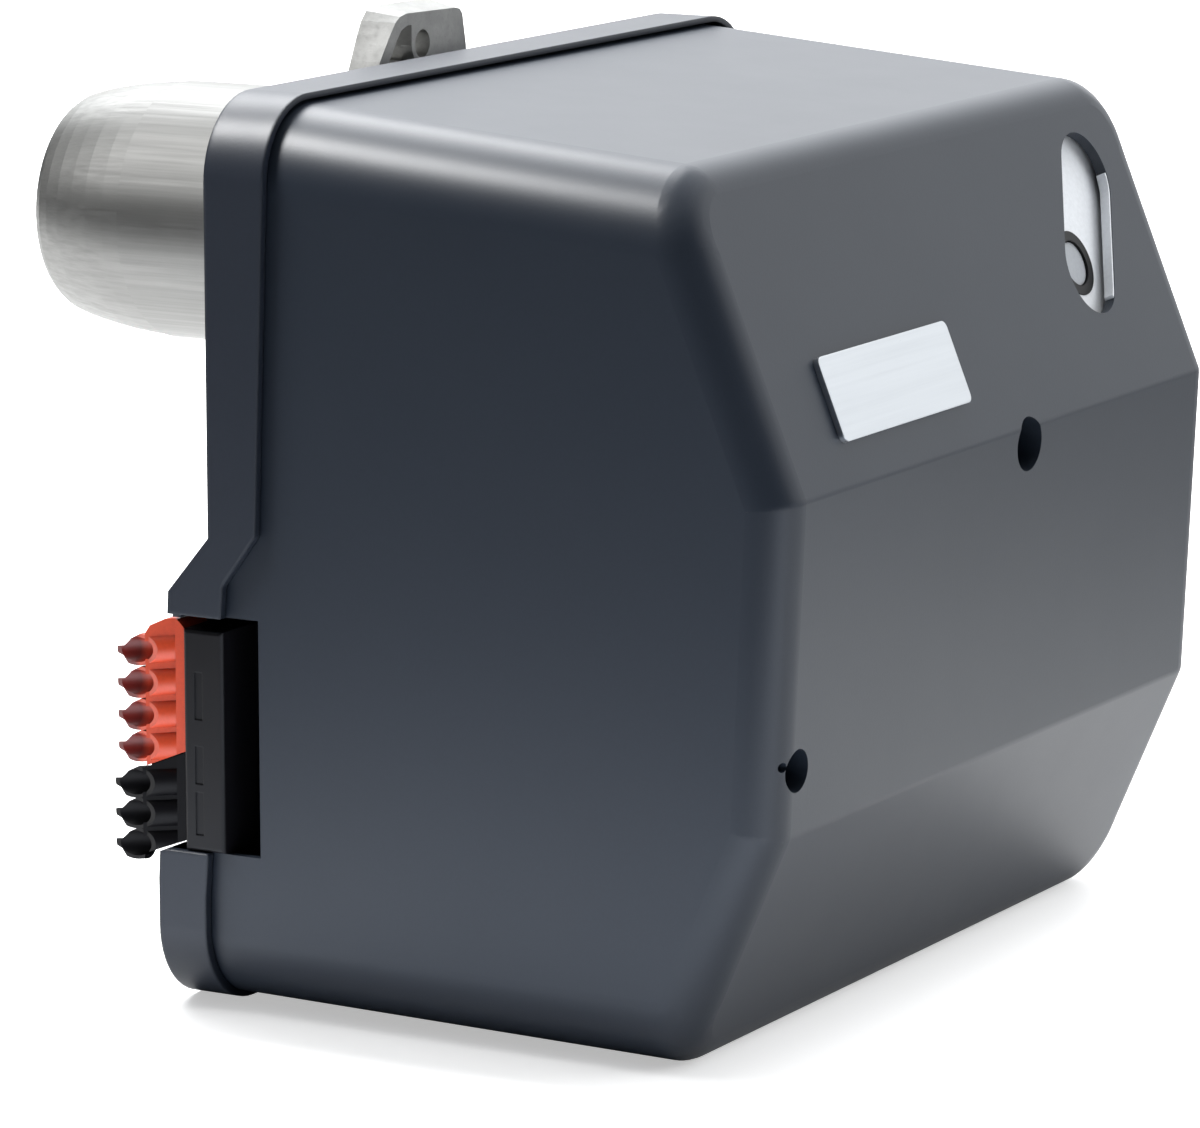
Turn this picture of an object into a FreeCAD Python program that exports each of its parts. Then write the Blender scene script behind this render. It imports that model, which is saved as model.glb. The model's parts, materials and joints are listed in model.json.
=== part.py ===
import FreeCAD, Part
import math
import os

# Oil burner, millimetres. The shapes are laid out with the blast tube's axis 217 above z = 0 and
# y counted from the upper rear edge of the casing; at the end everything is moved so that the
# origin is the centre of the flange's mounting face, on the axis of the blast tube.
# +X right seen from the front, +Y towards the flame, +Z up.

V = FreeCAD.Vector

# ---------------------------------------------------------------- driving dimensions
FLANGE_Y = 27.0          # mounting face of the flange, behind the upper rear edge of the casing
AXIS_Z = 217.0           # height of the blast tube's axis in the layout
FLOOR = -5.6             # the flat underside it rests on

RIM_W = 304.0            # width over the rear casing's rim
RIM_TOP = 275.0          # its top
RIM_R_TOP = 26.0         # corner radii of the rim
RIM_R_BOT = 26.0
RIM_T = 3.0              # wall of the rear casing
RIM_TOP_T = 1.8          # and of its top
# rear edge of the casing and front edge of its rim, seen from the side, (y, z) from the top down;
# below the jog both lean a little to the rear
RIM_BACK = [(0.0, 300.0), (0.0, 142.0), (14.6, 124.5), (19.2, 35.0), (19.2, -20.0)]
RIM_FRONT = [(-20.6, 300.0), (-20.6, 252.0), (-16.6, 143.7), (-4.8, 127.6), (2.4, 30.0), (2.4, -20.0)]

COVER_HALF = 148.5       # half width of the front cover
COVER_T = 2.8            # wall of the front cover
COVER_LAP = 9.0          # how far the cover reaches into the rim
TOP_REAR_Z = 272.9       # cover's top at the rim
Y_TOP, Z_TOP = -156.5, 261.0     # upper front edge
Y_MU, Z_MU = -194.4, 168.0       # edge between the upper slope and the upright front
Y_ML, Z_ML = -189.7, 68.0        # edge between the upright front and the lower slope
Y_BOT, Z_BOT = -158.0, FLOOR      # lower front edge
BOT_REAR_Z = FLOOR + 2.0   # cover's underside at the rim
R_MU_EDGE = 4.0          # rounding of the two creases across the front
R_ML_EDGE = 5.0
R_SIDE_TOP = 24.0        # along the top's side edges
R_SIDE_BOT = 22.6        # along the underside's side edges
R_FRONT = 13.0           # round the front's outline

WELL_UP = (12.4, 162.5, 8.45)    # x, z, radius of the upper screw well
WELL_LOW = (-133.0, 87.9, 6.5)   # and of the lower one
WELL_FLOOR_Y = -164.0

SLOT_X, SLOT_S = 96.8, 55.8      # window slot's centre, across and up the slope
SLOT_L, SLOT_W, SLOT_LEAN = 64.3, 29.3, 33.8
TRIM_X, TRIM_LOW, TRIM_UP = 0.0, -26.0, 14.0   # the light strip in the slot, from the slot's centre
PANEL_DEPTH = 5.5                # control panel behind the slope's face
BUTTON_X, BUTTON_S = 89.3, 44.8
BUTTON_R = 7.2
RING_RI, RING_RO = 7.5, 10.7

BADGE = (-63.2, 25.8, 83.5, 26.0, 1.8)   # x, s, width, height, thickness

NOTCH = (-15.4, 44.2, 117.6)     # connector notch: front y, lowest z, highest z
SOCKET = (-151.0, -131.0, -4.0, 10.2, 44.6, 113.2)
PLUG_X0, PLUG_X1 = -149.6, -136.4
PLUG_TOP = 115.6
GROOVES = [(85.5, 100.2), (65.5, 77.3), (49.7, 63.0)]     # shallow recesses in the socket's side
POLE_Z = [106.4, 97.2, 88.0, 78.8, 69.6, 60.4, 51.2]      # contacts
FUNNEL_Z = [102.2, 92.0, 82.0, 72.1, 60.8, 51.2, 41.6]    # wire outlets, 36 mm back
FUNNEL_FALL = 0.15                                        # they slant down to the rear

TUBE_R = 42.0
TUBE_T = 1.3
TUBE_SEAM = 105.5
TUBE_END = 141.5
TUBE_FRONT = -40.0
TUBE_STEP = 28.0         # in front of this, where the flange grips it, the tube is slimmer
TUBE_NECK_R = 41.0

FAN_Y, FAN_Z = -80.0, 90.0       # fan, motor and pump shaft
SHAFT_R = 6.35
BOLT_R = 59.0                    # bolt circle radius of the flange
BOLT_HOLE_R = 4.5
# outlines of the flange's upper ear at its front and at its rear, of the space inside its rim
# and of its web, (x, z)
EAR_FRONT = [(-31.0, 262.0), (-26.0, 272.4), (-19.5, 280.6), (-16.4, 284.0), (-13.6, 285.7), (-9.5, 286.4), (20.5, 285.6), (23.4, 285.0), (25.0, 283.2), (27.1, 273.2), (28.2, 262.0)]
EAR_REAR = [(-30.0, 262.0), (-24.8, 272.4), (-20.9, 280.2), (-18.4, 284.4), (-15.4, 287.2), (-10.3, 288.4), (21.5, 288.0), (24.6, 287.2), (26.4, 285.0), (28.4, 274.2), (29.4, 262.0)]
EAR_IN = [(-25.4, 262.0), (-20.0, 272.4), (-15.2, 278.8), (-12.6, 281.4), (-9.0, 282.6), (21.0, 282.0), (23.0, 273.2), (24.0, 262.0)]
EAR_WEB = [(-6.6, 283.0), (-6.6, 276.0), (-4.6, 271.0), (-2.0, 262.0), (25.6, 262.0), (24.9, 276.0), (22.6, 283.0)]

nodes = {}


# ---------------------------------------------------------------- helpers
def box(x0, x1, y0, y1, z0, z1):
    return Part.makeBox(x1 - x0, y1 - y0, z1 - z0, V(x0, y0, z0))


def cyl(axis, r, a0, a1, p, q):
    """Cylinder along an axis from a0 to a1; p and q are the other two coordinates in x, y, z order."""
    if axis == "x":
        return Part.makeCylinder(r, a1 - a0, V(a0, p, q), V(1, 0, 0))
    if axis == "y":
        return Part.makeCylinder(r, a1 - a0, V(p, a0, q), V(0, 1, 0))
    return Part.makeCylinder(r, a1 - a0, V(p, q, a0), V(0, 0, 1))


def ring(axis, ro, ri, a0, a1, p, q):
    return cyl(axis, ro, a0, a1, p, q).cut(cyl(axis, ri, a0 - 1, a1 + 1, p, q))


def poly_x(pts, x0, x1):
    """Polygon of (y, z) points drawn out along X."""
    w = Part.makePolygon([V(x0, y, z) for y, z in pts + pts[:1]])
    return Part.Face(w).extrude(V(x1 - x0, 0, 0))


def poly_z(pts, z0, z1):
    w = Part.makePolygon([V(x, y, z0) for x, y in pts + pts[:1]])
    return Part.Face(w).extrude(V(0, 0, z1 - z0))


def rrect_y(x0, x1, z0, z1, rt, rb, y0, y1):
    """Rounded rectangle in XZ drawn out along Y; rt and rb are the top and bottom corner radii."""
    s = 1 - math.sqrt(0.5)
    e = [
        Part.LineSegment(V(x0 + rb, y0, z0), V(x1 - rb, y0, z0)).toShape(),
        Part.Arc(V(x1 - rb, y0, z0), V(x1 - rb * s, y0, z0 + rb * s), V(x1, y0, z0 + rb)).toShape(),
        Part.LineSegment(V(x1, y0, z0 + rb), V(x1, y0, z1 - rt)).toShape(),
        Part.Arc(V(x1, y0, z1 - rt), V(x1 - rt * s, y0, z1 - rt * s), V(x1 - rt, y0, z1)).toShape(),
        Part.LineSegment(V(x1 - rt, y0, z1), V(x0 + rt, y0, z1)).toShape(),
        Part.Arc(V(x0 + rt, y0, z1), V(x0 + rt * s, y0, z1 - rt * s), V(x0, y0, z1 - rt)).toShape(),
        Part.LineSegment(V(x0, y0, z1 - rt), V(x0, y0, z0 + rb)).toShape(),
        Part.Arc(V(x0, y0, z0 + rb), V(x0 + rb * s, y0, z0 + rb * s), V(x0 + rb, y0, z0)).toShape(),
    ]
    return Part.Face(Part.Wire(e)).extrude(V(0, y1 - y0, 0))


def offset_poly(pts, t):
    """Closed polygon with every side moved inwards by t[i] (side i runs from point i to i+1)."""
    n = len(pts)
    area = sum(pts[i][0] * pts[(i + 1) % n][1] - pts[(i + 1) % n][0] * pts[i][1] for i in range(n))
    sgn = 1 if area > 0 else -1
    lines = []
    for i in range(n):
        (a, b), (c, d) = pts[i], pts[(i + 1) % n]
        l = math.hypot(c - a, d - b)
        nx, ny = -(d - b) / l * sgn, (c - a) / l * sgn
        lines.append((a + nx * t[i], b + ny * t[i], (c - a) / l, (d - b) / l))
    out = []
    for i in range(n):
        a, b, ux, uy = lines[i - 1]
        c, d, vx, vy = lines[i]
        k = ((c - a) * vy - (d - b) * vx) / (ux * vy - uy * vx)
        out.append((a + ux * k, b + uy * k))
    return out


def bent(points, r, bend):
    """Round bar or tube outline along straight runs joined by tangent arcs."""
    edges, here = [], V(*points[0])
    for i in range(1, len(points) - 1):
        a, b, c = V(*points[i - 1]), V(*points[i]), V(*points[i + 1])
        u, w = (a - b).normalize(), (c - b).normalize()
        half = u.getAngle(w) / 2
        rad = bend[i - 1] if isinstance(bend, (list, tuple)) else bend
        t = rad / math.tan(half)
        p, q = b + u * t, b + w * t
        m = (u + w).normalize()
        mid = b + m * (rad / math.sin(half) - rad)
        edges.append(Part.LineSegment(here, p).toShape())
        edges.append(Part.Arc(p, mid, q).toShape())
        here = q
    edges.append(Part.LineSegment(here, V(*points[-1])).toShape())
    path = Part.Wire(edges)
    d = (V(*points[1]) - V(*points[0])).normalize()
    prof = Part.Wire([Part.Circle(V(*points[0]), d, r).toShape()])
    body = path.makePipeShell([prof], True, True)
    if body.Volume < 0:
        body.reverse()
    return body


def fuse(*s):
    out = s[0].multiFuse(list(s[1:])) if len(s) > 1 else s[0]
    return out.removeSplitter()


def cut(a, *b):
    for s in b:
        a = a.cut(s)
    return a


def add(name, shape):
    nodes[name] = shape


# slope face of the cover: a point x across and s up from the lower edge, d behind the face
SL = math.hypot(Y_TOP - Y_MU, Z_TOP - Z_MU)
TY, TZ = (Y_TOP - Y_MU) / SL, (Z_TOP - Z_MU) / SL      # up the slope
NY, NZ = TZ, -TY                                       # into the cover


def slope(x, s, d=0.0):
    return V(x, Y_MU + TY * s + NY * d, Z_MU + TZ * s + NZ * d)


def front_y(z):
    return Y_MU + (Y_ML - Y_MU) * (Z_MU - z) / (Z_MU - Z_ML)


def slope_prism(pts, d0, d1):
    """Polygon or wire given in (x, s), drawn from depth d0 to depth d1 below the slope's face."""
    w = Part.makePolygon([slope(x, s, d0) for x, s in pts + pts[:1]])
    return Part.Face(w).extrude(slope(0, 0, d1) - slope(0, 0, d0))


def slope_stadium(x, s, length, width, lean, d0, d1):
    a = math.radians(lean)
    h, r = (length - width) / 2, width / 2
    ux, us = math.sin(a), math.cos(a)
    vx, vs = math.cos(a), -math.sin(a)

    def q(u, v):
        return slope(x + ux * u + vx * v, s + us * u + vs * v, d0)

    e = [
        Part.LineSegment(q(-h, -r), q(h, -r)).toShape(),
        Part.Arc(q(h, -r), q(h + r, 0), q(h, r)).toShape(),
        Part.LineSegment(q(h, r), q(-h, r)).toShape(),
        Part.Arc(q(-h, r), q(-h - r, 0), q(-h, -r)).toShape(),
    ]
    return Part.Face(Part.Wire(e)).extrude(slope(0, 0, d1) - slope(0, 0, d0))


def slope_cyl(x, s, r, d0, d1):
    p = slope(x, s, d0)
    return Part.makeCylinder(r, d1 - d0, p, slope(0, 0, 1) - slope(0, 0, 0))


# ---------------------------------------------------------------- front cover
def edges_where(solid, test):
    """Edges whose ends and middle all pass test(point)."""
    out = []
    for e in solid.Edges:
        if len(e.Vertexes) < 2:
            continue
        pts = [v.Point for v in e.Vertexes] + [e.valueAt((e.FirstParameter + e.LastParameter) / 2)]
        if all(test(q) for q in pts):
            out.append(e)
    return out


def near_line(q, a, b, tol=1e-3):
    """True where q lies on the side-view line from a to b, both (y, z)."""
    l = math.hypot(b[0] - a[0], b[1] - a[1])
    uy, uz = (b[0] - a[0]) / l, (b[1] - a[1]) / l
    k = (q.y - a[0]) * uy + (q.z - a[1]) * uz
    off = abs((q.y - a[0]) * uz - (q.z - a[1]) * uy)
    return off < tol and -tol < k < l + tol


def cover_block(inset, rear_extra):
    """Solid of the cover's outside (inset 0) or inside. The rear edge follows the casing's jog."""
    rear = [(y - COVER_LAP, z + 2.0) for y, z in RIM_BACK]
    pts = [
        (rear[0][0], TOP_REAR_Z),
        (Y_TOP, Z_TOP),
        (Y_MU, Z_MU),
        (Y_ML, Z_ML),
        (Y_BOT, Z_BOT),
        (rear[4][0], BOT_REAR_Z),
        rear[3],
        rear[2],
        rear[1],
    ]
    t = [inset, inset, inset, inset, inset, -rear_extra, -rear_extra, -rear_extra, -rear_extra]
    p = offset_poly(pts, t) if (inset or rear_extra) else pts
    half = COVER_HALF - inset
    solid = poly_x(p, -half, half)
    for (y, z), r in ((p[2], R_MU_EDGE), (p[3], R_ML_EDGE)):
        es = edges_where(solid, lambda q: abs(q.y - y) < 1e-4 and abs(q.z - z) < 1e-4)
        solid = solid.makeFillet(r - inset, es)
    for a, b, r in ((p[0], p[1], R_SIDE_TOP), (p[4], p[5], R_SIDE_BOT)):
        es = edges_where(solid, lambda q: abs(abs(q.x) - half) < 1e-4 and near_line(q, a, b))
        solid = solid.makeFillet(r - inset, es)
    # round the whole front outline: the loop where the front facets meet the sides, top and underside
    front = [(p[1], p[2]), (p[2], p[3]), (p[3], p[4])]
    es = []
    for e in solid.Edges:
        if len(e.Vertexes) < 2:
            continue
        ends = [v.Point for v in e.Vertexes]
        m = e.valueAt((e.FirstParameter + e.LastParameter) / 2)
        on = [any(near_line(q, a, b, 1.2) for a, b in front) for q in ends + [m]]
        if not all(on):
            continue
        crease = abs(ends[0].x + ends[1].x) < 1e-3 and p[4][1] + 3 < m.z < p[1][1] - 3
        if crease:
            continue
        es.append(e)
    return solid.makeFillet(R_FRONT - inset, es)


outer = cover_block(0.0, 0.0)
inner = cover_block(COVER_T, 6.0)
cover = outer.cut(inner)
# screw wells: a tube with a floor behind the front face
for x, z, r in (WELL_UP, WELL_LOW):
    boss = cyl("y", r + 2.0, -200, WELL_FLOOR_Y + 3.0, x, z).common(outer)
    cover = cover.fuse(boss)
    cover = cover.cut(cyl("y", r, -205, WELL_FLOOR_Y, x, z))
    cover = cover.cut(cyl("y", 2.7, -205, WELL_FLOOR_Y + 5, x, z))
# small dimple beside the lower well
cover = cover.cut(cyl("y", 1.5, -205, -182.5, -140.6, 90.2))
# window slot with a short collar behind it
collar = slope_stadium(SLOT_X, SLOT_S, SLOT_L + 4.0, SLOT_W + 4.0, SLOT_LEAN, 1.0, 3.6)
cover = cover.fuse(collar)
cover = cover.cut(slope_stadium(SLOT_X, SLOT_S, SLOT_L, SLOT_W, SLOT_LEAN, -2.0, 8.0))
# light strip that lines the slot's right-hand wall
trim = slope_stadium(SLOT_X, SLOT_S, SLOT_L - 0.04, SLOT_W - 0.04, SLOT_LEAN, 0.25, 3.5)
trim = trim.cut(slope_stadium(SLOT_X, SLOT_S, SLOT_L - 1.6, SLOT_W - 1.6, SLOT_LEAN, -1.0, 6.0))
trim = trim.common(slope_prism([(SLOT_X + TRIM_X, SLOT_S - 60), (SLOT_X + 60, SLOT_S - 60), (SLOT_X + 60, SLOT_S + TRIM_UP), (SLOT_X + TRIM_X, SLOT_S + TRIM_UP)], -2.0, 8.0))
trim = trim.common(slope_prism([(SLOT_X - 60, SLOT_S + TRIM_LOW), (SLOT_X + 60, SLOT_S + TRIM_LOW), (SLOT_X + 60, SLOT_S + 60), (SLOT_X - 60, SLOT_S + 60)], -2.0, 8.0))
add("window_trim", trim)
# connector notch in the left side, open to the rear
cover = cover.cut(box(-160, -128, NOTCH[0], 40, NOTCH[1], NOTCH[2]))
# where it enters the rear casing's rim, its corners keep clear of the rim's
lap = poly_x([(60, 300)] + [(y - 0.6, z) for y, z in RIM_FRONT] + [(60, -20)], -200, 200)
g = RIM_T + 0.4
lap = lap.cut(rrect_y(-RIM_W / 2 + g, RIM_W / 2 - g, FLOOR + g, RIM_TOP - RIM_TOP_T - 0.3, RIM_R_TOP - g, RIM_R_BOT - g, -70, 70))
cover = cover.cut(lap)
cover = cover.removeSplitter()
add("front_cover", cover)

# ---------------------------------------------------------------- blank badge plate
bx, bs, bw, bh, bt = BADGE
br = 2.5
badge = slope_prism([(bx - bw / 2, bs - bh / 2), (bx + bw / 2, bs - bh / 2), (bx + bw / 2, bs + bh / 2), (bx - bw / 2, bs + bh / 2)], -bt, 0.0)
es = []
for e in badge.Edges:
    d = e.Vertexes[1].Point - e.Vertexes[0].Point
    if abs(d.x) < 1e-6 and abs(abs(d.y * NY + d.z * NZ) - bt) < 1e-6:
        es.append(e)
badge = badge.makeFillet(br, es)
add("badge_plate", badge)

# ---------------------------------------------------------------- cover screws
screws = []
for x, z, r in (WELL_UP, WELL_LOW):
    y = WELL_FLOOR_Y
    head = cyl("y", 4.6, y - 3.2, y, x, z)
    slotc = box(x - 3.6, x + 3.6, y - 3.4, y - 1.6, z - 0.6, z + 0.6).fuse(box(x - 0.6, x + 0.6, y - 3.4, y - 1.6, z - 3.6, z + 3.6))
    shank = cyl("y", 2.2, y, y + 14, x, z)
    screws.append(head.fuse(shank).cut(slotc).removeSplitter())
add("cover_screws", Part.makeCompound(screws))

# ---------------------------------------------------------------- rear casing (tray with the raised rim)
def rim_side(back_shift, extra_front=0.0):
    """Side view of the casing's rim, its rear edge and front edge moved forwards."""
    back = [(y - back_shift, z - back_shift * 0.45 if 100 < z < 200 else z) for y, z in RIM_BACK]
    front = [(y - extra_front, z) for y, z in RIM_FRONT]
    return back + front[::-1]


H = RIM_W / 2
rim_out = rrect_y(-H, H, FLOOR, RIM_TOP, RIM_R_TOP, RIM_R_BOT, -70, 40)
rim_in = rrect_y(-H + RIM_T, H - RIM_T, FLOOR + RIM_T, RIM_TOP - RIM_TOP_T, RIM_R_TOP - RIM_T, RIM_R_BOT - RIM_T, -70, 40)
tray = rim_out.common(poly_x(rim_side(0), -200, 200))
tray = tray.cut(rim_in.common(poly_x(rim_side(RIM_T, 40.0), -200, 200)))
# opening for the blast tube, connector notch, air grille, hose opening
tray = tray.cut(cyl("y", 43.6, -40, 40, 0, AXIS_Z))
n0, n1, n2 = NOTCH
tray = tray.cut(poly_x([(-40, n1), (17.0, n1), (20.5, n1 - 1.5), (40, n1 - 1.5), (40, n2), (-40, n2)], -160, -RIM_W / 2 + RIM_T))
tray = tray.cut(poly_x([(-40, n1), (9.4, n1), (9.4, n1 + 2.7), (20.5, n1 - 1.5), (40, n1 - 1.5), (40, PLUG_TOP + 0.5), (-40, PLUG_TOP + 0.5)], -160, PLUG_X1 + 0.4))
for k in range(6):
    z = 38.0 + 12.0 * k
    tray = tray.cut(box(20, 84, 10, 25, z, z + 5.5))
tray = tray.cut(rrect_y(84, 128, 8, 30, 6, 6, 10, 25))
CASE_SCREWS = [(-40.0, 168.0, -3.0), (40.0, 168.0, -3.0), (-22.0, 28.0, 16.2), (10.0, 28.0, 16.2)]
for x, z, y in CASE_SCREWS:
    tray = tray.cut(cyl("y", 2.3, y - 2, y + 6, x, z))
add("rear_casing", tray.removeSplitter())
cs = []
for x, z, y in CASE_SCREWS:
    cs.append(cyl("y", 4.2, y + RIM_T, y + RIM_T + 2.6, x, z).fuse(cyl("y", 2.0, y - 8, y + RIM_T, x, z)).cut(box(x - 3.4, x + 3.4, y + RIM_T + 1.4, y + 10, z - 0.5, z + 0.5)).removeSplitter())
add("casing_screws", Part.makeCompound(cs))

# ---------------------------------------------------------------- fan housing (volute and air chamber)
vol_o = cyl("x", 74, -36, 36, FAN_Y, FAN_Z)
vol_i = cyl("x", 71, -33, 33, FAN_Y, FAN_Z)
neck_o = box(-36, 36, -112, -40, 120, 170)
neck_i = box(-33, 33, -109, -43, 118, 175)
cham_o = box(-46, 46, -112, -40, 156, 256)
cham_i = box(-43, 43, -115, -43, 159, 253)
posts = [cyl("y", 5.5, -44 if z > 100 else -28, y, x, z) for x, z, y in CASE_SCREWS]
up_post = cyl("y", 6.0, WELL_FLOOR_Y + 3.3, -108, WELL_UP[0], WELL_UP[1])
web = box(WELL_UP[0] - 2, WELL_UP[0] + 2, -146, -110, 150, 160)
housing = vol_o.multiFuse([neck_o, cham_o, up_post, web] + posts)
housing = cut(housing, vol_i, neck_i, cham_i)
# lower posts stop at the fan housing's wall, so clear the fan's space again
housing = cut(housing, cyl("x", 71, -33, 33, FAN_Y, FAN_Z))
housing = cut(
    housing,
    cyl("x", 42, 20, 40, FAN_Y, FAN_Z),                     # air inlet, right side
    cyl("x", 30, -40, -20, FAN_Y, FAN_Z),                   # motor spigot, left side
    cyl("y", 39.0, -50, -30, 0, AXIS_Z),                    # outlet to the blast tube
    cyl("y", 2.5, -170, -140, WELL_UP[0], WELL_UP[1]),      # cover screw's hole
)
for x, z, y in CASE_SCREWS:
    housing = housing.cut(cyl("y", 2.0, y - 12, y + 1, x, z))
add("fan_housing", housing.removeSplitter())

plate = box(-46, 46, -115, -112, 171, 256)
plate = cut(plate, cyl("y", 7.0, -120, -105, 0, AXIS_Z), cyl("y", 3.9, -120, -105, -14, 231), cyl("y", 3.9, -120, -105, 14, 231), cyl("y", 6.0, -120, -105, -28, 196))
PLATE_SCREWS = [(-40.5, 176.5), (40.5, 176.5), (-40.5, 250.5), (40.5, 250.5)]
add("chamber_plate", plate)
ps = []
for x, z in PLATE_SCREWS:
    s = cyl("y", 3.6, -117.6, -115, x, z).cut(box(x - 3, x + 3, -118, -116.4, z - 0.5, z + 0.5))
    ps.append(s)
add("plate_screws", Part.makeCompound(ps))

# ---------------------------------------------------------------- bracket that takes the lower cover screw
wx, wz, wr = WELL_LOW
brk = box(-139, -36.0, -152, -149.5, wz - 8, wz + 8)
brk = brk.fuse(box(-38.5, -36.0, -152, -128, wz - 8, wz + 8))
brk = brk.fuse(cyl("y", 5.0, WELL_FLOOR_Y + 3.3, -149.5, wx, wz))
brk = brk.cut(cyl("y", 2.5, -170, -140, wx, wz))
add("cover_bracket", brk.removeSplitter())

# ---------------------------------------------------------------- blast tube and its end cone
tube = ring("y", TUBE_R, TUBE_R - TUBE_T, TUBE_STEP, TUBE_SEAM, 0, AXIS_Z)
tube = tube.fuse(ring("y", TUBE_NECK_R, TUBE_NECK_R - TUBE_T, TUBE_FRONT, TUBE_STEP + 2.0, 0, AXIS_Z))
tube = tube.fuse(ring("y", 46.0, TUBE_NECK_R - TUBE_T, TUBE_FRONT, TUBE_FRONT + 3.0, 0, AXIS_Z)).removeSplitter()
add("blast_tube", tube)


def turned(points, axis_x=0.0, axis_z=AXIS_Z):
    """Solid of revolution about a line along Y through (axis_x, axis_z); points are (y, r)."""
    w = Part.makePolygon([V(axis_x + r, y, axis_z) for y, r in points + points[:1]])
    return Part.Face(w).revolve(V(axis_x, 0, axis_z), V(0, 1, 0), 360)


prof = [(TUBE_SEAM + 0.2, 41.6), (112.0, 41.3), (119.0, 40.6), (125.0, 39.7), (131.0, 38.6), (136.0, 37.4), (139.5, 36.3), (TUBE_END, 35.0)]
inn = [(TUBE_END, 31.8), (139.9, 31.8), (139.0, 34.7), (135.2, 36.0), (130.2, 37.2), (124.5, 38.3), (118.7, 39.2), (112.0, 39.9), (TUBE_SEAM + 0.2, 39.4), (96.0, 39.4)]
cone = turned(prof + inn + [(96.0, 40.5), (TUBE_SEAM + 0.2, 40.5)])
add("end_cone", cone)

# ---------------------------------------------------------------- mounting flange
fy0, fy1, fyp = 15.5, FLANGE_Y, 21.0
fl = cyl("y", 54.0, fyp, fy1, 0, AXIS_Z)
fl = fl.fuse(cyl("y", 48.5, fy0, fy1, 0, AXIS_Z))
for k in range(4):
    a = math.radians(90 * k)
    x, z = BOLT_R * math.sin(a), AXIS_Z + BOLT_R * math.cos(a)
    if k:
        fl = fl.fuse(cyl("y", 13.0, fyp, fy1, x, z))
        fl = fl.fuse(cyl("y", 6.6, fy0, fy1, x, z))
    else:
        fl = fl.fuse(cyl("y", 6.4, fy0, fy1, x, z))
# upper ear: a deep rim round a web at its front, open to the left of the bolt's hole
def ear(pts, y0, y1):
    w = Part.makePolygon([V(x, y0, z) for x, z in pts + pts[:1]])
    return Part.Face(w).extrude(V(0, y1 - y0, 0))


wires = [Part.makePolygon([V(x, y, z) for x, z in pts + pts[:1]]) for pts, y in ((EAR_FRONT, fy0), (EAR_REAR, fy1))]
arch = Part.makeLoft(wires, True, True).cut(ear(EAR_IN, fy0 - 3, fy1 + 1))
fl = fl.multiFuse([arch, ear(EAR_WEB, fy0, fy0 + 4.0)])
fl = fl.fuse(Part.makeCylinder(7.5, 58, V(0, fy0 + 5.75 + 0.0, AXIS_Z), V(math.sin(math.radians(135)), 0, math.cos(math.radians(135)))).common(box(-80, 80, fy0, fy1, 130, 290)))
fl = fl.cut(cyl("y", TUBE_NECK_R + 0.05, 0, 40, 0, AXIS_Z))
# recess in its rear face, so that the tube's full size clears a plate against that face
fl = fl.cut(cyl("y", TUBE_R + 0.5, fy1 - 1.5, 40, 0, AXIS_Z))
for k in range(4):
    a = math.radians(90 * k)
    fl = fl.cut(cyl("y", BOLT_HOLE_R, 0, 40, BOLT_R * math.sin(a), AXIS_Z + BOLT_R * math.cos(a)))
cd = V(math.sin(math.radians(135)), 0, math.cos(math.radians(135)))
cp = V(0, fy0 + 5.75, AXIS_Z)
fl = fl.cut(Part.makeCylinder(3.0, 40, cp + cd * 30, cd))
add("flange", fl.removeSplitter())
clamp = Part.makeCylinder(3.0, 18.4, cp + cd * (TUBE_NECK_R + 0.1), cd).fuse(Part.makeCylinder(5.0, 5.0, cp + cd * 59.0, cd))
add("clamp_screw", clamp.cut(Part.makeCylinder(2.5, 3.0, cp + cd * 61.5, cd)).removeSplitter())

# ---------------------------------------------------------------- electric motor
mh = ring("x", 44, 40, -104, -39, FAN_Y, FAN_Z)
mh = mh.fuse(ring("x", 44, 16.5, -39, -36, FAN_Y, FAN_Z)).fuse(ring("x", 29.8, 16.5, -36, -30, FAN_Y, FAN_Z))
add("motor_housing", mh.removeSplitter())
add("motor_stator", ring("x", 40.0, 27.6, -96, -54, FAN_Y, FAN_Z))
es_ = ring("x", 44, 16.5, -108, -104, FAN_Y, FAN_Z).fuse(cyl("x", 20, -116, -108, FAN_Y, FAN_Z))
es_ = es_.cut(cyl("x", 16.5, -113, -100, FAN_Y, FAN_Z))
for k in range(8):
    a = math.radians(45 * k + 22.5)
    es_ = es_.cut(cyl("x", 3.5, -112, -100, FAN_Y + 32 * math.cos(a), FAN_Z + 32 * math.sin(a)))
add("motor_end_shield", es_.removeSplitter())
b1 = ring("x", 16.5, SHAFT_R + 0.05, -113, -104, FAN_Y, FAN_Z)
b2 = ring("x", 16.5, SHAFT_R + 0.05, -39, -30, FAN_Y, FAN_Z)
add("motor_bearings", Part.makeCompound([b1, b2]))
add("motor_shaft", cyl("x", SHAFT_R, -112, 44, FAN_Y, FAN_Z))
add("rotor_core", ring("x", 27.0, SHAFT_R, -94, -56, FAN_Y, FAN_Z))
cap = cyl("x", 15, -108, -50, -146, 56)
cap = cap.fuse(cyl("x", 9, -112, -108, -146, 56))
add("capacitor", cap.removeSplitter())
strap = ring("x", 16.2, 15.0, -86, -72, -146, 56)
clip = box(-86, -72, -133, -117, 61, 69).cut(cyl("x", 15.0, -110, -40, -146, 56)).cut(cyl("x", 44.0, -110, -30, FAN_Y, FAN_Z))
add("capacitor_clamp", strap.fuse(clip).removeSplitter())

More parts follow.
